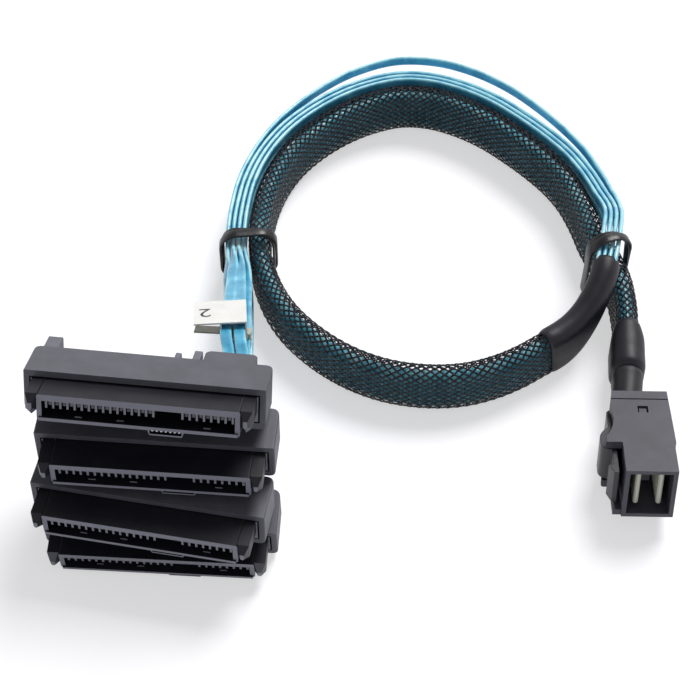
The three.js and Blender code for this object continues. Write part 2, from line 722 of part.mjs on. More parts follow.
function makeCardSpacer() {
  const half = (cardPitch - cardThickness) / 2 - seatGap;
  const shape = roundedRect(
    -half, half, cavityDepth - seatGap - spacerLength, cavityDepth - seatGap, [0.4, 0.4, 0, 0],
  );
  return extrudeZ(shape, plugFloor + seatGap, plugHeight - plugRoof - seatGap);
}

// Latch lever, drawn from above: knuckle at the back, thumb pad, arm and hook at the front
function makeLatchLever() {
  const armOuter = -noseSide - leverInnerGap - leverThickness;
  const armInner = armOuter + leverThickness;
  const knuckleX = bayInnerX - seatGap - leverKnuckle;
  const knuckleY = bayBack - seatGap - leverKnuckle;
  const padInner = armInner - 0.4;
  const shape = new THREE.Shape();
  shape.moveTo(armInner, leverTip);
  shape.lineTo(armInner, leverPadFront);
  shape.lineTo(padInner, leverPadBack);
  shape.lineTo(knuckleX + leverKnuckle, knuckleY - 0.2);
  shape.absarc(knuckleX, knuckleY, leverKnuckle, 0, Math.PI, false);
  shape.lineTo(knuckleX - leverKnuckle, leverPadBack + 1.2);
  shape.quadraticCurveTo(-leverPadReach, leverPadBack - 0.4, -leverPadReach, leverPadBack - 1.8);
  shape.lineTo(-leverPadReach, leverPadFront + 1);
  shape.quadraticCurveTo(-leverPadReach, leverPadFront - 0.6, armOuter, leverPadFront - 0.9);
  shape.lineTo(armOuter, leverTip + 2.2);
  shape.lineTo(armOuter - leverHook, leverTip + 2.2);
  shape.lineTo(armOuter, leverTip);
  return extrudeZ(shape, bayFloor + seatGap, plugHeight - bayRoof - seatGap, 8);
}

function buildPlug() {
  const group = new THREE.Group();
  addMesh(group, 'plug_housing', toGeometry(makePlugHousing()), materials.plug);
  addMesh(group, 'plug_rear_cover', toGeometry(makeRearCover()), materials.plug);
  addMesh(group, 'paddle_card_1', makePaddleCard(-1), materials.card);
  addMesh(group, 'paddle_card_2', makePaddleCard(1), materials.card);
  addMesh(group, 'card_spacer', makeCardSpacer(), materials.nose);
  addMesh(group, 'latch_lever', makeLatchLever(), materials.lever);
  place(group, plugPlace);
  return group;
}

// Cables

// Point of one lane of the bundle, beside the middle route
function lanePoint(i, column, row) {
  const [x, y, z] = bundleRoute[i];
  const before = bundleRoute[Math.max(i - 1, 0)];
  const after = bundleRoute[Math.min(i + 1, bundleRoute.length - 1)];
  const along = new THREE.Vector2(after[0] - before[0], after[1] - before[1]).normalize();
  const loose = column === twinColumns - 1 && row === 1 ? looseBow[i] : 0;
  const aside = (column - (twinColumns - 1) / 2) * twinPitch + loose;
  return [x + along.y * aside, y - along.x * aside, z + (row - 0.5) * twinRowPitch];
}

// End of one of a connector's two cables, inside its exit, and a point just behind it
function exitPoints(connector, side) {
  const exitMiddle = hoodTop - bossHeight / 2;
  return [4, -cableSeat].map((back) => {
    const point = new THREE.Vector3(bossCentre + side * twinSpreadAtBoss, hoodBack + bossLength + back, exitMiddle);
    return connector.localToWorld(point).toArray();
  });
}

function twinRoute(number, side, connector) {
  const [outerColumn, innerColumn, row] = pairLanes[number - 1];
  const column = side < 0 ? outerColumn : innerColumn;
  const lane = bundleRoute.map((_, i) => lanePoint(i, column, row));
  const tail = pairTails[number - 1].map(([x, y, z, spread]) => [x + side * spread, y, z]);
  return [...lane, ...tail, ...exitPoints(connector, side)];
}

function makeTie({ at: [x, y], heading, width, height, lower, upper }) {
  const corners = [lower, lower, upper, upper];
  const shape = roundedRect(-width / 2, width / 2, tieLift, height, corners);
  shape.holes.push(roundedRect(
    -width / 2 + tieThickness, width / 2 - tieThickness, tieLift + tieThickness, height - tieThickness,
    corners.map((radius) => radius - tieThickness),
  ));
  const geometry = extrudeY(shape, -tieBand / 2, tieBand / 2, 5);
  return geometry.rotateZ(THREE.MathUtils.degToRad(heading - 90)).translate(x, y, 0);
}

// Paper folded round a connector's two cables, with its free end standing out as a flag
function makeLabel({ x, y, z, slope, length, flag, turn }) {
  const halfWidth = twinSpreadAtBoss + twinThickness / 2 + labelClear;
  const halfHeight = twinHeight / 2 + labelClear;
  const outer = new THREE.Shape();
  outer.moveTo(-halfWidth - flag, halfHeight);
  outer.lineTo(-halfWidth - labelPaper, halfHeight);
  outer.lineTo(-halfWidth - labelPaper, -halfHeight - labelPaper);
  outer.lineTo(halfWidth + labelPaper, -halfHeight - labelPaper);
  outer.lineTo(halfWidth + labelPaper, halfHeight + labelPaper);
  outer.lineTo(-halfWidth - flag, halfHeight + labelPaper);
  outer.closePath();
  outer.holes.push(polygon([
    [-halfWidth, -halfHeight], [-halfWidth, halfHeight], [halfWidth, halfHeight], [halfWidth, -halfHeight],
  ]));
  const geometry = extrudeY(outer, -length / 2, length / 2);
  geometry.rotateX(THREE.MathUtils.degToRad(slope)).rotateZ(THREE.MathUtils.degToRad(turn));
  return geometry.translate(x, y, z);
}

function buildCables(connectors) {
  const group = new THREE.Group();
  const twinSection = stadium(twinThickness, twinHeight, 4);
  connectors.forEach((connector, i) => {
    addMesh(group, `twin_cable_${i + 1}a`, cordTube(twinRoute(i + 1, -1, connector), twinSection, twinSteps), materials.twin);
    addMesh(group, `twin_cable_${i + 1}b`, cordTube(twinRoute(i + 1, 1, connector), twinSection, twinSteps), materials.twin);
  });
  addMesh(group, 'braided_sleeve', cordTube(sleeveRoute, stadium(sleeveWidth, sleeveHeight, 6), sleeveSteps), materials.sleeve);
  addMesh(group, 'plug_strain_collar', shrinkTube(collarRings), materials.collar);
  addMesh(group, 'plug_heat_shrink', shrinkTube(plugShrinkRings), materials.shrink);
  addMesh(group, 'transition_heat_shrink', shrinkTube(transitionRings), materials.shrink);
  addMesh(group, 'tie_left', makeTie(ties.left), materials.tie);
  addMesh(group, 'tie_right', makeTie(ties.right), materials.tie);
  labels.forEach((label, i) => addMesh(group, `label_${i + 1}`, makeLabel(label), materials.label));
  return group;
}

// Moves the layout so that the rigid pieces stand on Z = 0, centred on the Z axis
const frameShift = [-1.392, 40.211, -0.074];

const model = new THREE.Group();
const connectors = stack.map((spot, i) => buildDriveConnector(i + 1, spot));
model.add(...connectors, buildPlug(), buildCables(connectors));
model.position.set(...frameShift);

export default model;
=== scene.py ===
"""Looks of a breakout cable: a small latched plug, a braided sleeve bent in a loop, eight flat twin cables
and four drive connectors in a loose stack. Metres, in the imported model's frame."""

import math

import bpy
import numpy as np
from mathutils import Matrix, Vector


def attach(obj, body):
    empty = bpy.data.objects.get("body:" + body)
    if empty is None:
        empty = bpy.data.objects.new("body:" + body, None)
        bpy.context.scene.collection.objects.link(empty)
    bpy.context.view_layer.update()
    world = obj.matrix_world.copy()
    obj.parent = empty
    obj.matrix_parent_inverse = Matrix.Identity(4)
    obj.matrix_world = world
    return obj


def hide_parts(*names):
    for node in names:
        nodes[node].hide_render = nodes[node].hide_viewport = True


BODY = "cable"

# Camera, as the photograph was taken
CAMERA_EYE = (-0.001392, -0.216904, 0.306344)
CAMERA_TARGET = (-0.001392, 0.040211, -0.000074)
CAMERA_LENS = 101.06
SENSOR_WIDTH = 36.0
CLIP_NEAR = 0.01
CLIP_FAR = 20

# Cable sections
SLEEVE_WIDTH = 0.0046
SLEEVE_HEIGHT = 0.0113
TWIN_THICKNESS = 0.0009
TWIN_WIDTH = 0.0022
TWIN_PITCH = 0.00112
TWIN_ROW_PITCH = 0.00245
TWIN_COLUMNS = 4
TWIN_STEP = 0.0011
TWIN_EDGE_POINTS = 9
WAIST_THICKNESS = 0.86  # at the middle of the wide faces, as a share of the thickness
WAIST_HEIGHT = 0.3  # of the dip between the two cores, as a share of the width
EDGE_HIGHLIGHT_SHARPNESS = 3  # how closely the painted edge highlight keeps to the edges

# Routes: x, y, z, and for tubes width and height. They are the part's own, apart from the bundle's bend
# beside the right tie, which is eased a little, and the collar's last two rings, which lie inside the boot.
ROUTE_SAMPLES = 24  # between two points of a route

SLEEVE_ROUTE = [
    (0.053908, 0.039211, 0.005726), (0.054108, 0.042711, 0.005726), (0.054008, 0.046411, 0.005926),
    (0.053608, 0.050211, 0.006326), (0.052608, 0.054411, 0.006526), (0.050908, 0.059211, 0.006426),
    (0.048908, 0.065511, 0.006026), (0.047508, 0.071811, 0.005726), (0.045208, 0.078711, 0.005726),
    (0.042208, 0.084211, 0.005726), (0.038208, 0.089411, 0.005726), (0.033608, 0.094411, 0.005726),
    (0.028208, 0.099411, 0.005726), (0.022008, 0.103411, 0.005726), (0.016008, 0.105711, 0.005726),
    (0.010008, 0.106111, 0.005726), (0.003508, 0.104111, 0.005726), (-0.002592, 0.100611, 0.005726),
    (-0.008392, 0.095611, 0.005726), (-0.012992, 0.090011, 0.005726), (-0.016392, 0.083611, 0.005726),
    (-0.018592, 0.076811, 0.005726), (-0.019692, 0.070111, 0.006026), (-0.020092, 0.064811, 0.006426),
    (-0.019992, 0.059811, 0.006526), (-0.018992, 0.054211, 0.006226), (-0.016992, 0.048411, 0.005826),
    (-0.014292, 0.043211, 0.005726), (-0.010792, 0.038611, 0.005726), (-0.005792, 0.033811, 0.005726),
    (-0.000192, 0.030011, 0.005726), (0.006208, 0.027311, 0.005726), (0.013808, 0.026011, 0.005726),
    (0.021008, 0.026411, 0.005726), (0.027408, 0.028411, 0.005726), (0.032408, 0.031011, 0.005726),
    (0.036208, 0.033611, 0.005726),
]

BUNDLE_ROUTE = [
    (0.050508, 0.051811, 0.014926), (0.051208, 0.055111, 0.015026), (0.051908, 0.058611, 0.014926),
    (0.052608, 0.063011, 0.014226), (0.052708, 0.067611, 0.012226), (0.051808, 0.073211, 0.010026),
    (0.049608, 0.080411, 0.009026), (0.046408, 0.086611, 0.008926), (0.041908, 0.092511, 0.008926),
    (0.036908, 0.097911, 0.008926), (0.030908, 0.103411, 0.008926), (0.024008, 0.107811, 0.008926),
    (0.016908, 0.110511, 0.008926), (0.009508, 0.111011, 0.008926), (0.001508, 0.108611, 0.008926),
    (-0.005392, 0.104611, 0.008926), (-0.011792, 0.099111, 0.008926), (-0.016892, 0.092911, 0.008926),
    (-0.020692, 0.085811, 0.008926), (-0.023192, 0.078211, 0.008926), (-0.024392, 0.070811, 0.008926),
    (-0.024842, 0.065211, 0.008926), (-0.024842, 0.059811, 0.008926),
]

PLUG_SHRINK_RINGS = [
    (0.053258, 0.027911, 0.006026, 0.006, 0.0088), (0.053308, 0.028811, 0.006026, 0.0068, 0.0098),
    (0.053508, 0.032211, 0.006026, 0.0069, 0.0106), (0.053758, 0.035611, 0.006026, 0.0066, 0.0114),
    (0.053858, 0.037611, 0.006026, 0.0056, 0.0117), (0.053908, 0.038911, 0.006026, 0.005, 0.0117),
]

COLLAR_RINGS = [
    (0.052268, 0.020311, 0.005926, 0.0056, 0.0076), (0.052608, 0.022611, 0.005926, 0.0058, 0.008),
    (0.053008, 0.025611, 0.005976, 0.0059, 0.0084), (0.053208, 0.027611, 0.006026, 0.0059, 0.0086),
    (0.053268, 0.028211, 0.006026, 0.0048, 0.0076), (0.053308, 0.028911, 0.006026, 0.0046, 0.0074),
]

TRANSITION_RINGS = [
    (0.037508, 0.034511, 0.005926, 0.0053, 0.0116), (0.040408, 0.036411, 0.006326, 0.0054, 0.0114),
    (0.043308, 0.038711, 0.007626, 0.0053, 0.0102), (0.046008, 0.041711, 0.009726, 0.0052, 0.0086),
    (0.048108, 0.044911, 0.012226, 0.0054, 0.007), (0.049508, 0.047911, 0.014026, 0.0056, 0.0062),
    (0.050208, 0.050911, 0.014726, 0.0057, 0.0061),
]

# Each connector's pair of cables from the left tie on: x, y, z, and half the space between the two
PAIR_TAILS = [
    [
        (-0.024392, 0.054211, 0.012426, 0.00062), (-0.023992, 0.044211, 0.016526, 0.00085),
        (-0.023692, 0.032211, 0.021826, 0.00115), (-0.023292, 0.021211, 0.026926, 0.0013),
    ],
    [
        (-0.024392, 0.054211, 0.010526, 0.0019), (-0.023792, 0.044211, 0.013126, 0.00175),
        (-0.023192, 0.032211, 0.017526, 0.0015), (-0.022492, 0.021211, 0.022126, 0.0013),
    ],
    [
        (-0.024392, 0.054211, 0.007726, 0.00062), (-0.023792, 0.044211, 0.007926, 0.00085),
        (-0.023292, 0.032211, 0.009926, 0.00115), (-0.022792, 0.020211, 0.012926, 0.0013),
    ],
    [
        (-0.024392, 0.054211, 0.005826, 0.0019), (-0.023792, 0.044211, 0.004126, 0.00175),
        (-0.023292, 0.032211, 0.003426, 0.0015), (-0.022592, 0.019211, 0.004826, 0.0013),
    ],
]

# Where each drive connector lies, as origin, yaw and pitch in degrees, and its cable exit in its own frame
CONNECTORS = [
    ((-0.037392, 0.004511, 0.032126), -6.4, 22.0),
    ((-0.036192, 0.001011, 0.022676), -4.7, 1.2),
    ((-0.037292, -0.005689, 0.013876), -10.6, 0.6),
    ((-0.036292, -0.004489, 0.005026), -3.6, -7.5),
]
EXIT_MIDDLE = (0.01375, 0.0081, 0.0008)
EXIT_SPREAD = 0.0013
EXIT_DEPTHS = (0.004, -0.0016)  # just behind the exit, and inside it

# Lanes of the bundle that feed each connector: column of the outer cable, inner cable, row
PAIR_LANES = [(2, 1, 1), (3, 0, 1), (2, 1, 0), (3, 0, 0)]

# How far the loose outermost cable bows away from the others at each point of the bundle's route
LOOSE_BOW = [
    0, 0, 0, 0, 0, 0.0002, 0.0005, 0.001, 0.0017, 0.0024, 0.003, 0.0035, 0.0037, 0.0035, 0.0026, 0.0016,
    0.0008, 0.0003, 0, 0, 0, 0, 0,
]

# Where a cable's wide face turns up, measured from the left tie
FLATTEN_START = 0.002
FLATTEN_LENGTH = 0.012

# Braid: strands each way, the length of one turn, and one flat strand
STRANDS = 20
TURN_LENGTH = 0.036
STRAND_WIDTH = 0.00042
STRAND_THICKNESS = 0.00015
STRAND_LIFT = 0.00008
STRAND_STEP = 0.00032
THREADS = 3  # seen side by side in one strand
THREAD_WAVE = 0.95  # scale of the wave that raises them
SLEEVE_OVERLAP = 0.003  # how far the sleeve runs on inside a heat-shrink at each end

# Cables inside the braid, as one ribbed core that lies a little low
CORE_WIDTH = 0.0035
CORE_HEIGHT = 0.0094
CORE_SINK = 0.0006
CORE_RIB = 0.16
CORE_RIB_PITCH = 0.00235
CORE_STEP = 0.0012
CORE_EDGE_POINTS = 12
CORE_FLANK_POINTS = 23

# Heat-shrinks
SHRINK_WALL = 0.0004
MOUTH_DEPTH = 0.002
SHRINK_STEP = 0.0004
SHRINK_EDGE_POINTS = 14
LIP_STEPS = 3  # samples over which a lip rounds off
LIP_SHARE = 0.7  # of the wall that the lip rounds off

# Ties: middle, heading of the cables through them, width, top, and the lower and upper corners' radii
TIES = {
    "tie_left": ((-0.022392, 0.060811), 92, 0.012, 0.013426, 0.0036, 0.0039),
    "tie_right": ((0.050958, 0.054611), 106, 0.0096, 0.018726, 0.0042, 0.0045),
}
TIE_LOWEST = 0.000026  # just above the level surface
STRIP_THICKNESS = 0.0005
STRIP_WIDTH = 0.0021
STRIP_SWAY = 0.0007  # how far each turn of a tie sways along the cables
STRIP_PHASE = 0.6  # radians round the loop to where a turn sways most
TIE_TURNS = ((0.5, 1), (1.55, -1))  # depth in thicknesses, and the way it sways
TIE_SAMPLES = 120
TIE_EDGE_POINTS = 5
CORNER_SAMPLES = 24

# Plug: origin, yaw and pitch, and the low and high corners of its cover's rib in its own frame
PLUG = ((0.054208, -0.004189, 0.004206), -1.2, 10.6)
COVER_RIB = ((-0.0054, 0.02022, 0.0006), (0.0042, 0.02048, 0.0094))

# Number on the first label: the label's middle, slope, turn, and the number's spot on its flag
LABEL_FLAG = ((-0.023492, 0.027211, 0.024276), -24, 4, (-0.0053, 0, 0.00188))
NUMBER_SIZE = 0.0052
NUMBER_DEPTH = 0.00001

# Finishes
NOISE_ROUGHNESS = 0.55
PAINTED_LIGHT_FACING = (-0.75, -0.9)  # how far forward a face has to look to be painted pale, painted light on forward faces
# Painted light: the paler colour given to faces that look forward
PAINTED_LIGHT_COLOUR = (0.27, 0.27, 0.33)
EDGE_HIGHLIGHT = 0.45  # how much paler a cable's edges are painted, a painted highlight

# Small rounded edges of the rigid pieces
WELD_DISTANCE = 0.000001
FLAT_ANGLE = 1  # degrees, up to which faces are joined
EDGE_ANGLE = 35  # degrees, from which an edge is rounded

# Finish and edge radius of each rigid piece, by what its name holds. The sill's contacts are in it twice:
# they are rounded with the other contacts and then once more, finely.
NODE_FINISHES = [
    ("_hood", "hood", 0.00018),
    ("_nose", "nose", 0.0001),
    ("_contacts", "contact", 0.00005),
    ("_sill_contacts", "sill_contact", 0.00003),
    ("_power_port", "port", 0.00012),
    ("_power_blades", "blade", 0.00005),
    ("plug_housing", "plug", 0.00014),
    ("plug_rear_cover", "plug", 0.00014),
    ("paddle_card", "card", 0.00005),
    ("card_spacer", "nose", 0.0001),
    ("latch_lever", "lever", 0.00012),
    ("label_1", "label", 0.00005),
    ("label_2", "aged", 0.00005),
    ("label_3", "label", 0.00005),
    ("label_4", "dark", 0.0001),
]

# Shrunk tubes: name, the piece each takes the place of, its rings, material and slot
SHRINKS = [
    ("plug_boot", "plug_heat_shrink", PLUG_SHRINK_RINGS, "shrink", "heat_shrink"),
    ("plug_collar", "plug_strain_collar", COLLAR_RINGS, "collar", "collar_rubber"),
    ("transition_tube", "transition_heat_shrink", TRANSITION_RINGS, "shrink", "heat_shrink"),
]

# Stage and light
FLOOR_HALF = 1.5
FLOOR_LEVEL = -0.00003
FLOOR_COLOUR = (0.6, 0.6, 0.64)
FLOOR_GLOW = 0.55
AMBIENT = 0.25
BACKDROP_EDGE = (0.25, 0.6)  # heights over which the white backdrop fades into the dim ceiling
CEILING = 0.05

# Lamps: strength, azimuth, elevation, spread and colour
KEY = (2.7, 30, 52, 28, (1.0, 0.99, 0.98))
FILL = (0.22, -170, 30, 60, (0.95, 0.97, 1.0))


def new_material(name):
    material = bpy.data.materials.new(name)
    material.use_nodes = True
    tree = material.node_tree
    tree.nodes.clear()
    output = tree.nodes.new("ShaderNodeOutputMaterial")
    shader = tree.nodes.new("ShaderNodeBsdfPrincipled")
    tree.links.new(shader.outputs[0], output.inputs[0])
    return material, tree, shader


def noise(tree, scale, detail=3.0):
    node = tree.nodes.new("ShaderNodeTexNoise")
    node.inputs["Scale"].default_value = scale
    node.inputs["Detail"].default_value = detail
    node.inputs["Roughness"].default_value = NOISE_ROUGHNESS
    coordinates = tree.nodes.new("ShaderNodeTexCoord")
    tree.links.new(coordinates.outputs["Object"], node.inputs["Vector"])
    return node.outputs["Fac"]


def ramp(tree, value, low, high, colours):
    """Colour between two or more stops set evenly from low to high."""
    node = tree.nodes.new("ShaderNodeValToRGB")
    stops = node.color_ramp.elements
    while len(stops) < len(colours):
        stops.new(0.5)
    for i, (stop, colour) in enumerate(zip(stops, colours)):
        stop.position = low + (high - low) * i / (len(colours) - 1)
        stop.color = (*colour, 1)
    tree.links.new(value, node.inputs[0])
    return node.outputs[0]


def span(tree, value, low, high):
    node = tree.nodes.new("ShaderNodeMapRange")
    node.inputs["To Min"].default_value = low
    node.inputs["To Max"].default_value = high
    tree.links.new(value, node.inputs[0])
    return node.outputs[0]


def bump(tree, shader, height, distance, strength=1.0):
    node = tree.nodes.new("ShaderNodeBump")
    node.inputs["Distance"].default_value = distance
    node.inputs["Strength"].default_value = strength
    tree.links.new(height, node.inputs["Height"])
    tree.links.new(node.outputs[0], shader.inputs["Normal"])


def moulded(name, dark, light, roughness, grain, depth, sheen=0.45):
    """Moulded plastic: faint cloudy colour, a fine grain, and a roughness that varies a little."""
    material, tree, shader = new_material(name)
    shader.inputs["Specular IOR Level"].default_value = sheen
    colour = ramp(tree, noise(tree, scale=180), low=0.3, high=0.7, colours=[dark, light])
    tree.links.new(colour, shader.inputs["Base Color"])
    rough = span(tree, noise(tree, scale=500), low=roughness - 0.06, high=roughness + 0.08)
    tree.links.new(rough, shader.inputs["Roughness"])
    bump(tree, shader, noise(tree, grain, detail=2.0), depth)
    return material


def painted_light_on_fronts(material, colour):
    """Paints the faces that look forward paler, a painted light that stands in for the light falling on them.
    """
    tree = material.node_tree
    shader = next(node for node in tree.nodes if node.type == "BSDF_PRINCIPLED")
    plain = shader.inputs["Base Color"].links[0].from_socket
    coordinates = tree.nodes.new("ShaderNodeTexCoord")
    split = tree.nodes.new("ShaderNodeSeparateXYZ")
    tree.links.new(coordinates.outputs["Normal"], split.inputs[0])
    forward = tree.nodes.new("ShaderNodeMapRange")
    forward.inputs["From Min"].default_value = PAINTED_LIGHT_FACING[0]
    forward.inputs["From Max"].default_value = PAINTED_LIGHT_FACING[1]
    tree.links.new(split.outputs["Y"], forward.inputs[0])
    mixed = tree.nodes.new("ShaderNodeMix")
    mixed.data_type = "RGBA"
    tree.links.new(forward.outputs[0], mixed.inputs["Factor"])
    tree.links.new(plain, mixed.inputs["A"])
    mixed.inputs["B"].default_value = (*colour, 1)
    tree.links.new(mixed.outputs["Result"], shader.inputs["Base Color"])
    return material


def plated(name, colour, dull, roughness):
    """Plated metal, dulled a little in patches."""
    material, tree, shader = new_material(name)
    patches = ramp(tree, noise(tree, scale=900), low=0.35, high=0.7, colours=[dull, colour])
    tree.links.new(patches, shader.inputs["Base Color"])
    shader.inputs["Metallic"].default_value = 1.0
    rough = span(tree, noise(tree, scale=2500), low=roughness - 0.08, high=roughness + 0.12)
    tree.links.new(rough, shader.inputs["Roughness"])
    return material


def jacket(name, deep, mid, pale):
    """Film-wrapped jacket: clear and shiny, deeper on its flat faces and painted pale along its edges as a
    painted highlight.
    """
    material, tree, shader = new_material(name)
    edge = tree.nodes.new("ShaderNodeAttribute")
    edge.attribute_name = "edge"
    # Painted highlight along the edges, plus a random tone
    film = tree.nodes.new("ShaderNodeMath")
    film.operation = "MULTIPLY_ADD"
    tree.links.new(edge.outputs["Fac"], film.inputs[0])
    film.inputs[1].default_value = EDGE_HIGHLIGHT
    tree.links.new(noise(tree, scale=260, detail=4.0), film.inputs[2])
    colour = ramp(tree, film.outputs[0], low=0.35, high=0.95, colours=[deep, mid, pale])
    tree.links.new(colour, shader.inputs["Base Color"])
    tree.links.new(span(tree, noise(tree, scale=700), low=0.22, high=0.4), shader.inputs["Roughness"])
    shader.inputs["Coat Weight"].default_value = 0.35
    shader.inputs["Coat Roughness"].default_value = 0.12
    bump(tree, shader, noise(tree, scale=1500, detail=2.0), distance=0.00002)
    return material


def filament(name, dark, light):
    """Black monofilament: threads side by side in each flat strand."""
    material, tree, shader = new_material(name)
    uv = tree.nodes.new("ShaderNodeUVMap")
    uv.uv_map = "section"
    wave = tree.nodes.new("ShaderNodeTexWave")
    wave.wave_profile = "SIN"
    wave.inputs["Scale"].default_value = THREAD_WAVE
    tree.links.new(uv.outputs[0], wave.inputs["Vector"])
    colour = ramp(tree, noise(tree, scale=700), low=0.35, high=0.7, colours=[dark, light])
    tree.links.new(colour, shader.inputs["Base Color"])
    shader.inputs["Roughness"].default_value = 0.24
    shader.inputs["Specular IOR Level"].default_value = 0.4
    bump(tree, shader, wave.outputs["Fac"], distance=0.00004)
    return material


def shrunk(name, dark, light):
    """Shrunk tube: matt, with the cables' soft ribs and a fine orange-peel skin."""
    material, tree, shader = new_material(name)
    shader.inputs["Specular IOR Level"].default_value = 0.4
    colour = ramp(tree, noise(tree, scale=120), low=0.35, high=0.7, colours=[dark, light])
    tree.links.new(colour, shader.inputs["Base Color"])
    tree.links.new(span(tree, noise(tree, scale=420), low=0.42, high=0.58), shader.inputs["Roughness"])
    coarse = noise(tree, scale=160, detail=1.0)
    fine = noise(tree, scale=2600, detail=2.0)
    total = tree.nodes.new("ShaderNodeMath")
    total.operation = "MULTIPLY_ADD"
    tree.links.new(fine, total.inputs[0])
    total.inputs[1].default_value = 0.06
    tree.links.new(coarse, total.inputs[2])
    bump(tree, shader, total.outputs[0], distance=0.0006, strength=0.5)
    return material


def paper(name, pale, shade):
    """Label film: smooth, with faint handling creases."""
    material, tree, shader = new_material(name)
    colour = ramp(tree, noise(tree, scale=300, detail=5.0), low=0.3, high=0.7, colours=[shade, pale])
    tree.links.new(colour, shader.inputs["Base Color"])
    tree.links.new(span(tree, noise(tree, scale=800), low=0.4, high=0.55), shader.inputs["Roughness"])
    bump(tree, shader, noise(tree, scale=420, detail=2.0), distance=0.00015, strength=0.4)
    return material


def white_floor():
    """White floor that keeps the object's shadow; a camera or mirror ray sees it a little brighter."""
    material = bpy.data.materials.new("floor_white")
    material.use_nodes = True
    tree = material.node_tree
    tree.nodes.clear()
    output = tree.nodes.new("ShaderNodeOutputMaterial")
    diffuse = tree.nodes.new("ShaderNodeBsdfDiffuse")
    diffuse.inputs["Color"].default_value = (*FLOOR_COLOUR, 1)
    glow = tree.nodes.new("ShaderNodeEmission")
    glow.inputs["Color"].default_value = (1, 1, 1, 1)
    both = tree.nodes.new("ShaderNodeAddShader")
    tree.links.new(seen_rays(tree, FLOOR_GLOW), glow.inputs["Strength"])
    tree.links.new(diffuse.outputs[0], both.inputs[0])
    tree.links.new(glow.outputs[0], both.inputs[1])
    tree.links.new(both.outputs[0], output.inputs[0])
    return material


def seen_rays(tree, strength):
    """The given strength for camera, glossy and transmission rays, and nothing for the rest."""
    rays = tree.nodes.new("ShaderNodeLightPath")
    most = rays.outputs["Is Camera Ray"]
    for kind in ("Is Glossy Ray", "Is Transmission Ray"):
        larger = tree.nodes.new("ShaderNodeMath")
        larger.operation = "MAXIMUM"
        tree.links.new(most, larger.inputs[0])
        tree.links.new(rays.outputs[kind], larger.inputs[1])
        most = larger.outputs[0]
    scaled = tree.nodes.new("ShaderNodeMath")
    scaled.operation = "MULTIPLY"
    tree.links.new(most, scaled.inputs[0])
    scaled.inputs[1].default_value = strength
    return scaled.outputs[0]


def smooth_line(points, step):
    """Centripetal Catmull-Rom curve through the points, as evenly spaced samples. The first three columns are
    the place, and any others, such as a width, run along with it."""
    rows = np.array(points, float)
    rows = np.vstack([2 * rows[0] - rows[1], rows, 2 * rows[-1] - rows[-2]])
    gaps = np.linalg.norm(np.diff(rows[:, :3], axis=0), axis=1) ** 0.5
    dense = []
    for i in range(1, len(rows) - 2):
        t0 = 0.0
        t1 = t0 + gaps[i - 1]
        t2 = t1 + gaps[i]
        t3 = t2 + gaps[i + 1]
        t = np.linspace(t1, t2, ROUTE_SAMPLES, endpoint=False)[:, None]
        a1 = ((t1 - t) * rows[i - 1] + (t - t0) * rows[i]) / (t1 - t0)
        a2 = ((t2 - t) * rows[i] + (t - t1) * rows[i + 1]) / (t2 - t1)
        a3 = ((t3 - t) * rows[i + 1] + (t - t2) * rows[i + 2]) / (t3 - t2)
        b1 = ((t2 - t) * a1 + (t - t0) * a2) / (t2 - t0)
        b2 = ((t3 - t) * a2 + (t - t1) * a3) / (t3 - t1)
        dense.append(((t2 - t) * b1 + (t - t1) * b2) / (t2 - t1))
    dense = np.vstack([*dense, rows[-2:-1]])
    along = np.concatenate([[0], np.cumsum(np.linalg.norm(np.diff(dense[:, :3], axis=0), axis=1))])
    count = max(2, round(along[-1] / step)) + 1
    even = np.linspace(0, along[-1], count)
    return np.stack([np.interp(even, along, column) for column in dense.T], 1)


def line_length(line):
    return float(np.linalg.norm(np.diff(line[:, :3], axis=0), axis=1).sum())


def unit(vectors):
    return vectors / np.linalg.norm(vectors, axis=-1, keepdims=True)


def upright_frames(line):
    """Direction, sideways and upward unit vectors at each sample, with the sideways one level."""
    along = unit(np.gradient(line[:, :3], axis=0))
    level = np.stack([along[:, 1], -along[:, 0], np.zeros(len(line))], 1)
    across = unit(level)
    up = np.cross(across, along)
    return along, across, up


def add_object(name, points, faces, material, smooth=True):
    mesh = bpy.data.meshes.new(name)
    mesh.from_pydata([tuple(p) for p in points], [], faces)
    mesh.validate()
    mesh.materials.append(material)
    if smooth:
        mesh.polygons.foreach_set("use_smooth", [True] * len(mesh.polygons))
    obj = bpy.data.objects.new(name, mesh)
    bpy.context.scene.collection.objects.link(obj)
    return obj


def ring_faces(rings, sides, first=0, closed=False):
    """Quads between neighbouring rings, with flat ends unless the rings close on themselves."""
    faces = []
    for ring in range(rings if closed else rings - 1):
        here = first + ring * sides
        there = first + ((ring + 1) % rings) * sides
        for side in range(sides):
            after = (side + 1) % sides
            faces.append((here + side, here + after, there + after, there + side))
    if not closed:
        faces.append(tuple(first + side for side in reversed(range(sides))))
        last = first + (rings - 1) * sides
        faces.append(tuple(last + side for side in range(sides)))
    return faces


def sweep(name, line, sections, material, twist=None):
    """Closed skin along a line. sections holds (sideways, up) points for each sample, counter-clockwise as
    seen from ahead; twist turns each section by an angle. The attribute "edge" is 1 where it is tallest."""
    _, across, up = upright_frames(line)
    if twist is not None:
        cos, sin = np.cos(twist)[:, None], np.sin(twist)[:, None]
        across, up = cos * across + sin * up, cos * up - sin * across
    sections = np.broadcast_to(sections, (len(line), *np.shape(sections)[-2:]))
    points = line[:, None, :3] + sections[..., :1] * across[:, None] + sections[..., 1:] * up[:, None]
    faces = ring_faces(len(line), sections.shape[1])
    skin = add_object(name, points.reshape(-1, 3), faces, material)
    height = np.abs(sections[..., 1])
    edge = (height / height.max(1, keepdims=True)) ** EDGE_HIGHLIGHT_SHARPNESS
    attribute = skin.data.attributes.new("edge", "FLOAT", "POINT")
    attribute.data.foreach_set("value", edge.astype(np.float32).ravel())
    return skin


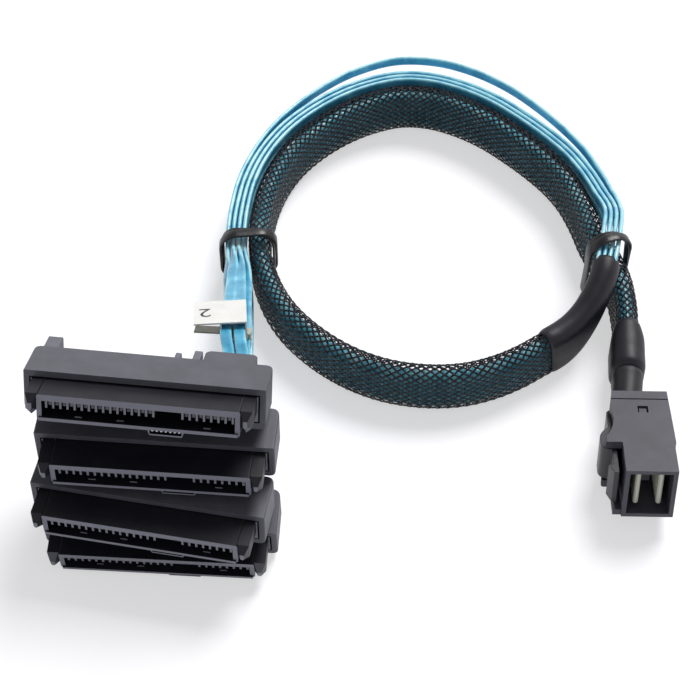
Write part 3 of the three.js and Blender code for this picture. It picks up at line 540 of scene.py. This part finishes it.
def stadium(width, height, edge_points):
    """(sideways, up) points round a flat section with two round edges."""
    radius = width / 2
    rise = height / 2 - radius
    angles = np.linspace(0, np.pi, edge_points)
    top = np.stack([radius * np.cos(angles), rise + radius * np.sin(angles)], 1)
    return np.vstack([top, -top])


def bundle_lane(column, row):
    """Points of one lane of the bundle, beside the middle route, starting inside the transition's mouth."""
    route = [*(ring[:3] for ring in TRANSITION_RINGS[-2:]), *BUNDLE_ROUTE[1:]]
    bows = [0, *LOOSE_BOW]
    lane = []
    for i, (x, y, z) in enumerate(route):
        before, after = route[max(i - 1, 0)], route[min(i + 1, len(route) - 1)]
        along = unit(np.array(after[:2]) - np.array(before[:2]))
        loose = bows[i] if (column, row) == (TWIN_COLUMNS - 1, 1) else 0
        aside = (column - (TWIN_COLUMNS - 1) / 2) * TWIN_PITCH + loose
        lane.append((x + along[1] * aside, y - along[0] * aside, z + (row - 0.5) * TWIN_ROW_PITCH))
    return lane


def lie(placement):
    """Matrix of a connector that lies at (origin, yaw, pitch)."""
    place, yaw, pitch = placement
    turn = Matrix.Rotation(math.radians(yaw), 4, "Z") @ Matrix.Rotation(math.radians(-pitch), 4, "X")
    return Matrix.Translation(place) @ turn


def exit_points(connector, side):
    """Point just behind a connector for one of its two cables, and the cable's end inside the exit."""
    x, y, z = EXIT_MIDDLE
    return [tuple(lie(connector) @ Vector((x + side * EXIT_SPREAD, y + back, z))) for back in EXIT_DEPTHS]


def twin_section():
    """Flat oval with a shallow waist between its two cores, its wide faces to the sides."""
    outline = stadium(TWIN_THICKNESS, TWIN_WIDTH, TWIN_EDGE_POINTS)
    side = TWIN_THICKNESS / 2
    rise = TWIN_WIDTH * WAIST_HEIGHT / 2
    left = np.array([(-side, rise), (-side * WAIST_THICKNESS, 0), (-side, -rise)])
    return np.vstack([outline[:TWIN_EDGE_POINTS], left, outline[TWIN_EDGE_POINTS:], -left])


def build_twin_cable(number, side, connector, material):
    outer, inner, row = PAIR_LANES[number - 1]
    column = outer if side < 0 else inner
    tail = [(x + side * spread, y, z) for x, y, z, spread in PAIR_TAILS[number - 1]]
    lane = bundle_lane(column, row)
    points = [*lane, *tail, *exit_points(connector, side)]
    line = smooth_line(points, TWIN_STEP)
    along = np.linspace(0, line_length(line), len(line))
    tie_at = line_length(smooth_line(lane, TWIN_STEP))
    share = np.clip((along - tie_at - FLATTEN_START) / FLATTEN_LENGTH, 0, 1)
    twist = math.pi / 2 * share * share * (3 - 2 * share)
    name = f"twin_cable_{number}{'a' if side < 0 else 'b'}"
    cable = sweep(name + "_ribbon", line, twin_section(), material, twist)
    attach(cable, BODY)
    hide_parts(name)


def perimeter_point(share, width, height):
    """Place and outward normal on a flat section with round edges, at a share of the way round it."""
    radius = width / 2
    straight = height - width
    arc = math.pi * radius
    total = 2 * (straight + arc)
    s = np.mod(share, 1) * total
    half = s >= total / 2
    s = np.where(half, s - total / 2, s)
    on_side = s < straight
    angle = np.where(on_side, 0, (s - straight) / radius)
    a = np.where(on_side, radius, radius * np.cos(angle))
    b = np.where(on_side, -straight / 2 + s, straight / 2 + radius * np.sin(angle))
    normal_a = np.cos(angle)
    normal_b = np.sin(angle)
    sign = np.where(half, -1, 1)
    return a * sign, b * sign, normal_a * sign, normal_b * sign


def sleeve_line(step):
    """The sleeve's middle line, run on a little inside the heat-shrink at each end."""
    start, second = np.array(SLEEVE_ROUTE[0]), np.array(SLEEVE_ROUTE[1])
    before, end = np.array(SLEEVE_ROUTE[-2]), np.array(SLEEVE_ROUTE[-1])
    first = start + SLEEVE_OVERLAP * unit(start - second)
    last = end + SLEEVE_OVERLAP * unit(end - before)
    return smooth_line([first, *SLEEVE_ROUTE, last], step)


def build_strands(name, direction, material):
    """All the strands that wind one way. They cross those that wind the other way over and under by turns."""
    line = sleeve_line(STRAND_STEP)
    along, across, up = upright_frames(line)
    s = np.linspace(0, line_length(line), len(line))
    rise = STRAND_THICKNESS / 2
    width = SLEEVE_WIDTH - 2 * (STRAND_LIFT + rise)
    height = SLEEVE_HEIGHT - 2 * (STRAND_LIFT + rise)
    around = 2 * (height - width) + math.pi * width
    slope = math.atan2(around, TURN_LENGTH)
    lift = direction * STRAND_LIFT * np.cos(2 * math.pi * s * STRANDS / TURN_LENGTH)
    half = STRAND_WIDTH / 2
    flat = STRAND_WIDTH / 5
    section = np.array([(half, 0), (flat, rise), (-flat, rise), (-half, 0), (-flat, -rise), (flat, -rise)])
    points, faces, shares = [], [], []
    for strand in range(STRANDS):
        share = strand / STRANDS + direction * s / TURN_LENGTH
        a, b, na, nb = perimeter_point(share, width, height)
        normal = na[:, None] * across + nb[:, None] * up
        round_it = -nb[:, None] * across + na[:, None] * up
        centre = line[:, :3] + a[:, None] * across + b[:, None] * up + lift[:, None] * normal
        beside = unit(math.cos(slope) * round_it - direction * math.sin(slope) * along)
        rings = centre[:, None] + section[:, :1] * beside[:, None] + section[:, 1:] * normal[:, None]
        faces += ring_faces(len(line), len(section), first=len(points))
        points += rings.reshape(-1, 3).tolist()
        shares += [(x / STRAND_WIDTH * THREADS, 0) for x, _ in section] * len(line)
    braid = add_object(name, points, faces, material)
    layer = braid.data.uv_layers.new(name="section")
    loops = np.zeros(len(braid.data.loops), np.int32)
    braid.data.loops.foreach_get("vertex_index", loops)
    layer.data.foreach_set("uv", np.array(shares, np.float32)[loops].ravel())
    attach(braid, BODY)
    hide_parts("braided_sleeve")
    return braid


def build_sleeve(materials):
    """The twin cables inside the sleeve as one ribbed core, and the braid round them."""
    line = sleeve_line(CORE_STEP)
    outline = stadium(CORE_WIDTH, CORE_HEIGHT, CORE_EDGE_POINTS)
    flanks = np.linspace(1, -1, CORE_FLANK_POINTS + 2)[1:-1] * (CORE_HEIGHT - CORE_WIDTH) / 2
    left = np.stack([np.full(len(flanks), -CORE_WIDTH / 2), flanks], 1)
    outline = np.vstack([outline[:CORE_EDGE_POINTS], left, outline[CORE_EDGE_POINTS:], -left])
    rib = 1 - CORE_RIB * np.abs(np.sin(np.pi * outline[:, 1] / CORE_RIB_PITCH))
    outline = outline * np.stack([rib, np.ones(len(rib))], 1) + (0, -CORE_SINK)
    core = sweep("sleeve_core", line, outline, materials["core"])
    strands = [
        build_strands("braid_right_hand", 1, materials["filament"]),
        build_strands("braid_left_hand", -1, materials["filament"]),
    ]
    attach(core, BODY)
    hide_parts("braided_sleeve")


def inset_section(section, amount):
    """A section made smaller by an amount on every side."""
    size = np.abs(section).max(0)
    return section * (size - amount) / size


def build_shrink(name, node, rings, material):
    """Shrunk tube with a rounded lip at each end; the ends are hollow for a short way."""
    line = smooth_line(rings, SHRINK_STEP)
    sections = [stadium(width, height, SHRINK_EDGE_POINTS) for width, height in line[:, 3:5]]
    last = len(line) - 1
    depth = round(MOUTH_DEPTH / SHRINK_STEP)
    from_end = [min(i, last - i, LIP_STEPS) for i in range(len(line))]
    lip = SHRINK_WALL * (1 - np.cos(np.linspace(np.pi / 2, 0, LIP_STEPS + 1))) * LIP_SHARE
    mouth = [SHRINK_WALL] * (depth + 1)
    order = [*range(depth, -1, -1), *range(len(line)), *range(last, last - depth - 1, -1)]
    insets = [*mouth, *lip[from_end], *mouth]
    scaled = np.array([inset_section(sections[i], inset) for i, inset in zip(order, insets)])
    _, across, up = upright_frames(line)
    across = across[order, None]
    up = up[order, None]
    points = line[order, None, :3] + scaled[..., :1] * across + scaled[..., 1:] * up
    faces = ring_faces(len(order), scaled.shape[1])
    tube = add_object(name, points.reshape(-1, 3), faces, material)
    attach(tube, BODY)
    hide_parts(node)


def rounded_loop(width, low, high, lower, upper, count):
    """Evenly spaced points round an upright rounded rectangle, with their outward normals."""
    half = width / 2
    corners = [
        (half - lower, low + lower, lower, -90), (half - upper, high - upper, upper, 0),
        (-half + upper, high - upper, upper, 90), (-half + lower, low + lower, lower, 180),
    ]
    dense = []
    for x, z, radius, start in corners:
        for angle in np.radians(np.linspace(start, start + 90, CORNER_SAMPLES)):
            out, rise = math.cos(angle), math.sin(angle)
            dense.append((x + radius * out, z + radius * rise, out, rise))
    dense = np.array([*dense, dense[0]])
    along = np.concatenate([[0], np.cumsum(np.linalg.norm(np.diff(dense[:, :2], axis=0), axis=1))])
    even = np.linspace(0, along[-1], count, endpoint=False)
    loop = np.stack([np.interp(even, along, column) for column in dense.T], 1)
    loop[:, 2:] = unit(loop[:, 2:])
    return loop


def build_tie(name, material):
    """Two turns of a coated band, one over the other, that cross at the top and below."""
    (x, y), heading, width, height, lower, upper = TIES[name]
    turn = math.radians(heading - 90)
    through = np.array((-math.sin(turn), math.cos(turn), 0.0))
    sideways = np.array((math.cos(turn), math.sin(turn), 0.0))
    upward = np.array((0.0, 0.0, 1.0))
    loop = rounded_loop(width, TIE_LOWEST, height, lower, upper, TIE_SAMPLES)
    path = np.array((x, y, 0.0)) + loop[:, :1] * sideways + loop[:, 1:2] * upward
    normal = loop[:, 2:3] * sideways + loop[:, 3:] * upward
    phase = np.linspace(0, 2 * np.pi, TIE_SAMPLES, endpoint=False)
    sway = STRIP_SWAY * np.cos(phase - STRIP_PHASE)
    section = stadium(STRIP_THICKNESS, STRIP_WIDTH, TIE_EDGE_POINTS)
    faces = ring_faces(TIE_SAMPLES, len(section), closed=True)
    for number, (depth, way) in enumerate(TIE_TURNS, 1):
        centre = path - depth * STRIP_THICKNESS * normal + way * sway[:, None] * through
        rings = centre[:, None] + section[:, :1] * normal[:, None] + section[:, 1:] * through
        band = add_object(f"{name}_turn_{number}", rings.reshape(-1, 3), faces, material)
        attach(band, BODY)
        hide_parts(name)


def build_cover_rib(material):
    """Rib of the plug's rear cover that closes the joint with the housing."""
    (x0, y0, z0), (x1, y1, z1) = COVER_RIB
    corners = [lie(PLUG) @ Vector((x, y, z)) for x in (x0, x1) for y in (y0, y1) for z in (z0, z1)]
    faces = [(0, 1, 3, 2), (4, 6, 7, 5), (0, 4, 5, 1), (2, 3, 7, 6), (0, 2, 6, 4), (1, 5, 7, 3)]
    rib = add_object("plug_cover_rib", corners, faces, material, smooth=False)
    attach(rib, BODY)


def build_label_number(material):
    """Plain number printed on the first label's flag, upside down as it lies."""
    curve = bpy.data.curves.new("label_number", "FONT")
    curve.body = "2"
    curve.size = NUMBER_SIZE
    curve.align_x = "CENTER"
    curve.align_y = "CENTER"
    curve.extrude = NUMBER_DEPTH
    curve.materials.append(material)
    number = bpy.data.objects.new("label_number", curve)
    bpy.context.scene.collection.objects.link(number)
    place, slope, turn, spot = LABEL_FLAG
    flag = Matrix.Rotation(math.radians(turn), 4, "Z") @ Matrix.Rotation(math.radians(slope), 4, "X")
    number.matrix_world = (
        Matrix.Translation(place) @ flag @ Matrix.Translation(spot) @ Matrix.Rotation(math.pi, 4, "Z")
    )
    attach(number, BODY)


def soften(node, width, material):
    """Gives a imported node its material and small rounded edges."""
    mesh = node.data
    mesh.materials.clear()
    mesh.materials.append(material)
    mesh.polygons.foreach_set("use_smooth", [True] * len(mesh.polygons))
    weld = node.modifiers.new("weld", "WELD")
    weld.merge_threshold = WELD_DISTANCE
    flat = node.modifiers.new("flat_faces", "DECIMATE")
    flat.decimate_type = "DISSOLVE"
    flat.angle_limit = math.radians(FLAT_ANGLE)
    bevel = node.modifiers.new("edges", "BEVEL")
    bevel.width = width
    bevel.segments = 2
    bevel.limit_method = "ANGLE"
    bevel.angle_limit = math.radians(EDGE_ANGLE)
    bevel.harden_normals = True
    normals = node.modifiers.new("flat_normals", "WEIGHTED_NORMAL")
    normals.weight = 100


def build_stage():
    signs = ((-1, -1), (1, -1), (1, 1), (-1, 1))
    corners = [(x * FLOOR_HALF, y * FLOOR_HALF, FLOOR_LEVEL) for x, y in signs]
    floor = add_object("floor", corners, [(0, 1, 2, 3)], white_floor(), smooth=False)
    world = bpy.data.worlds.new("studio")
    bpy.context.scene.world = world
    world.use_nodes = True
    tree = world.node_tree
    background = tree.nodes["Background"]
    background.inputs["Color"].default_value = (1, 1, 1, 1)
    seen = seen_rays(tree, 1 - AMBIENT)
    coordinates = tree.nodes.new("ShaderNodeTexCoord")
    split = tree.nodes.new("ShaderNodeSeparateXYZ")
    tree.links.new(coordinates.outputs["Generated"], split.inputs[0])
    backdrop = ramp(tree, split.outputs["Z"], *BACKDROP_EDGE, [(1, 1, 1), (CEILING, CEILING, CEILING)])
    total = tree.nodes.new("ShaderNodeMath")
    total.operation = "MULTIPLY_ADD"
    tree.links.new(seen, total.inputs[0])
    tree.links.new(backdrop, total.inputs[1])
    total.inputs[2].default_value = AMBIENT
    tree.links.new(total.outputs[0], background.inputs["Strength"])


def add_sun(name, strength, azimuth, elevation, spread, colour):
    """Lamp far away; azimuth is the way the light comes from, 0 from +Y and 90 from +X."""
    light = bpy.data.lights.new(name, "SUN")
    light.energy = strength
    light.angle = math.radians(spread)
    light.color = colour
    lamp = bpy.data.objects.new(name, light)
    a, e = math.radians(azimuth), math.radians(elevation)
    source = Vector((math.sin(a) * math.cos(e), math.cos(a) * math.cos(e), math.sin(e)))
    lamp.rotation_mode = "QUATERNION"
    lamp.rotation_quaternion = source.to_track_quat("Z", "Y")
    bpy.context.scene.collection.objects.link(lamp)


def build_lights():
    add_sun("key", *KEY)
    add_sun("fill", *FILL)


def build_camera():
    data = bpy.data.cameras.new("camera")
    data.lens = CAMERA_LENS
    data.sensor_width = SENSOR_WIDTH
    data.clip_start = CLIP_NEAR
    data.clip_end = CLIP_FAR
    camera = bpy.data.objects.new("camera", data)
    camera.location = CAMERA_EYE
    look = Vector(CAMERA_TARGET) - Vector(CAMERA_EYE)
    camera.rotation_mode = "QUATERNION"
    camera.rotation_quaternion = look.to_track_quat("-Z", "Y")
    bpy.context.scene.collection.objects.link(camera)
    bpy.context.scene.camera = camera


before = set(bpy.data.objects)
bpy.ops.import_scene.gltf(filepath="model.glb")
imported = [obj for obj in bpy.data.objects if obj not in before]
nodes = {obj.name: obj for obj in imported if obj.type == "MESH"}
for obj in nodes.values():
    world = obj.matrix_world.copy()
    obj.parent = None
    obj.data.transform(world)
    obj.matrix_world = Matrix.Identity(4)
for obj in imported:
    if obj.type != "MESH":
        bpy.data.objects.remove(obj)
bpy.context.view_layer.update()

view = bpy.context.scene.view_settings
view.view_transform = "Standard"
build_camera()
build_stage()
build_lights()

# Moulded: darker and lighter colour, roughness, and the grain's scale and depth. Plated: colour, dulled
# colour and roughness. Jackets: deep, middle and pale colour, the pale one a painted highlight along the
# edges.
materials = {
    "hood": moulded("hood_plastic", (0.082, 0.083, 0.103), (0.11, 0.111, 0.138), 0.5, 3200, 0.00003),
    # The nose's near-black colour is painted shade, far darker than the hood's, standing for the hood's shade
    # over the nose; its forward faces get painted light.
    "nose": painted_light_on_fronts(
        moulded("nose_plastic", (0.008, 0.008, 0.013), (0.014, 0.014, 0.021), 0.44, 3200, 0.00001, 0.28),
        PAINTED_LIGHT_COLOUR,
    ),
    "port": moulded("port_plastic", (0.13, 0.135, 0.165), (0.17, 0.175, 0.215), 0.5, 3200, 0.00003),
    "plug": moulded("plug_plastic", (0.055, 0.056, 0.072), (0.078, 0.079, 0.1), 0.45, 3000, 0.00003),
    "lever": moulded("lever_plastic", (0.03, 0.03, 0.037), (0.045, 0.044, 0.052), 0.4, 3000, 0.00003),
    "contact": plated("contact_metal", (0.12, 0.12, 0.135), (0.06, 0.06, 0.07), 0.5),
    "sill_contact": plated("sill_contact_metal", (0.55, 0.55, 0.6), (0.35, 0.35, 0.4), 0.4),
    "blade": plated("blade_metal", (0.85, 0.68, 0.36), (0.62, 0.48, 0.26), 0.25),
    "card": moulded("card_board", (0.8, 0.81, 0.66), (0.86, 0.87, 0.74), 0.45, 2200, 0.00003),
    "twin": jacket("twin_jacket", (0.04, 0.3, 0.5), (0.1, 0.49, 0.73), (0.44, 0.86, 0.96)),
    "core": jacket("core_jacket", (0.04, 0.34, 0.5), (0.13, 0.56, 0.74), (0.5, 0.9, 0.97)),
    "filament": filament("braid_filament", (0.003, 0.006, 0.012), (0.008, 0.016, 0.03)),
    "shrink": shrunk("heat_shrink", (0.009, 0.008, 0.013), (0.016, 0.015, 0.022)),
    "collar": shrunk("collar_rubber", (0.014, 0.013, 0.018), (0.022, 0.021, 0.027)),
    "tie": moulded("tie_coated", (0.006, 0.006, 0.008), (0.012, 0.012, 0.016), 0.34, 1800, 0.00004),
    "label": paper("label_film", (0.9, 0.9, 0.88), (0.82, 0.82, 0.8)),
    "aged": paper("label_aged", (0.5, 0.5, 0.4), (0.42, 0.42, 0.33)),
    "dark": paper("label_dark", (0.02, 0.02, 0.024), (0.012, 0.012, 0.015)),
}

for node_name, node in nodes.items():
    for part, finish, radius in NODE_FINISHES:
        if part in node_name:
            soften(node, radius, materials[finish])

build_sleeve(materials)
for number, connector in enumerate(CONNECTORS, 1):
    for side in (-1, 1):
        build_twin_cable(number, side, connector, materials["twin"])
for name, node, rings, finish, slot in SHRINKS:
    build_shrink(name, node, rings, materials[finish])
for tie in TIES:
    build_tie(tie, materials["tie"])
build_cover_rib(materials["nose"])
build_label_number(materials["dark"])
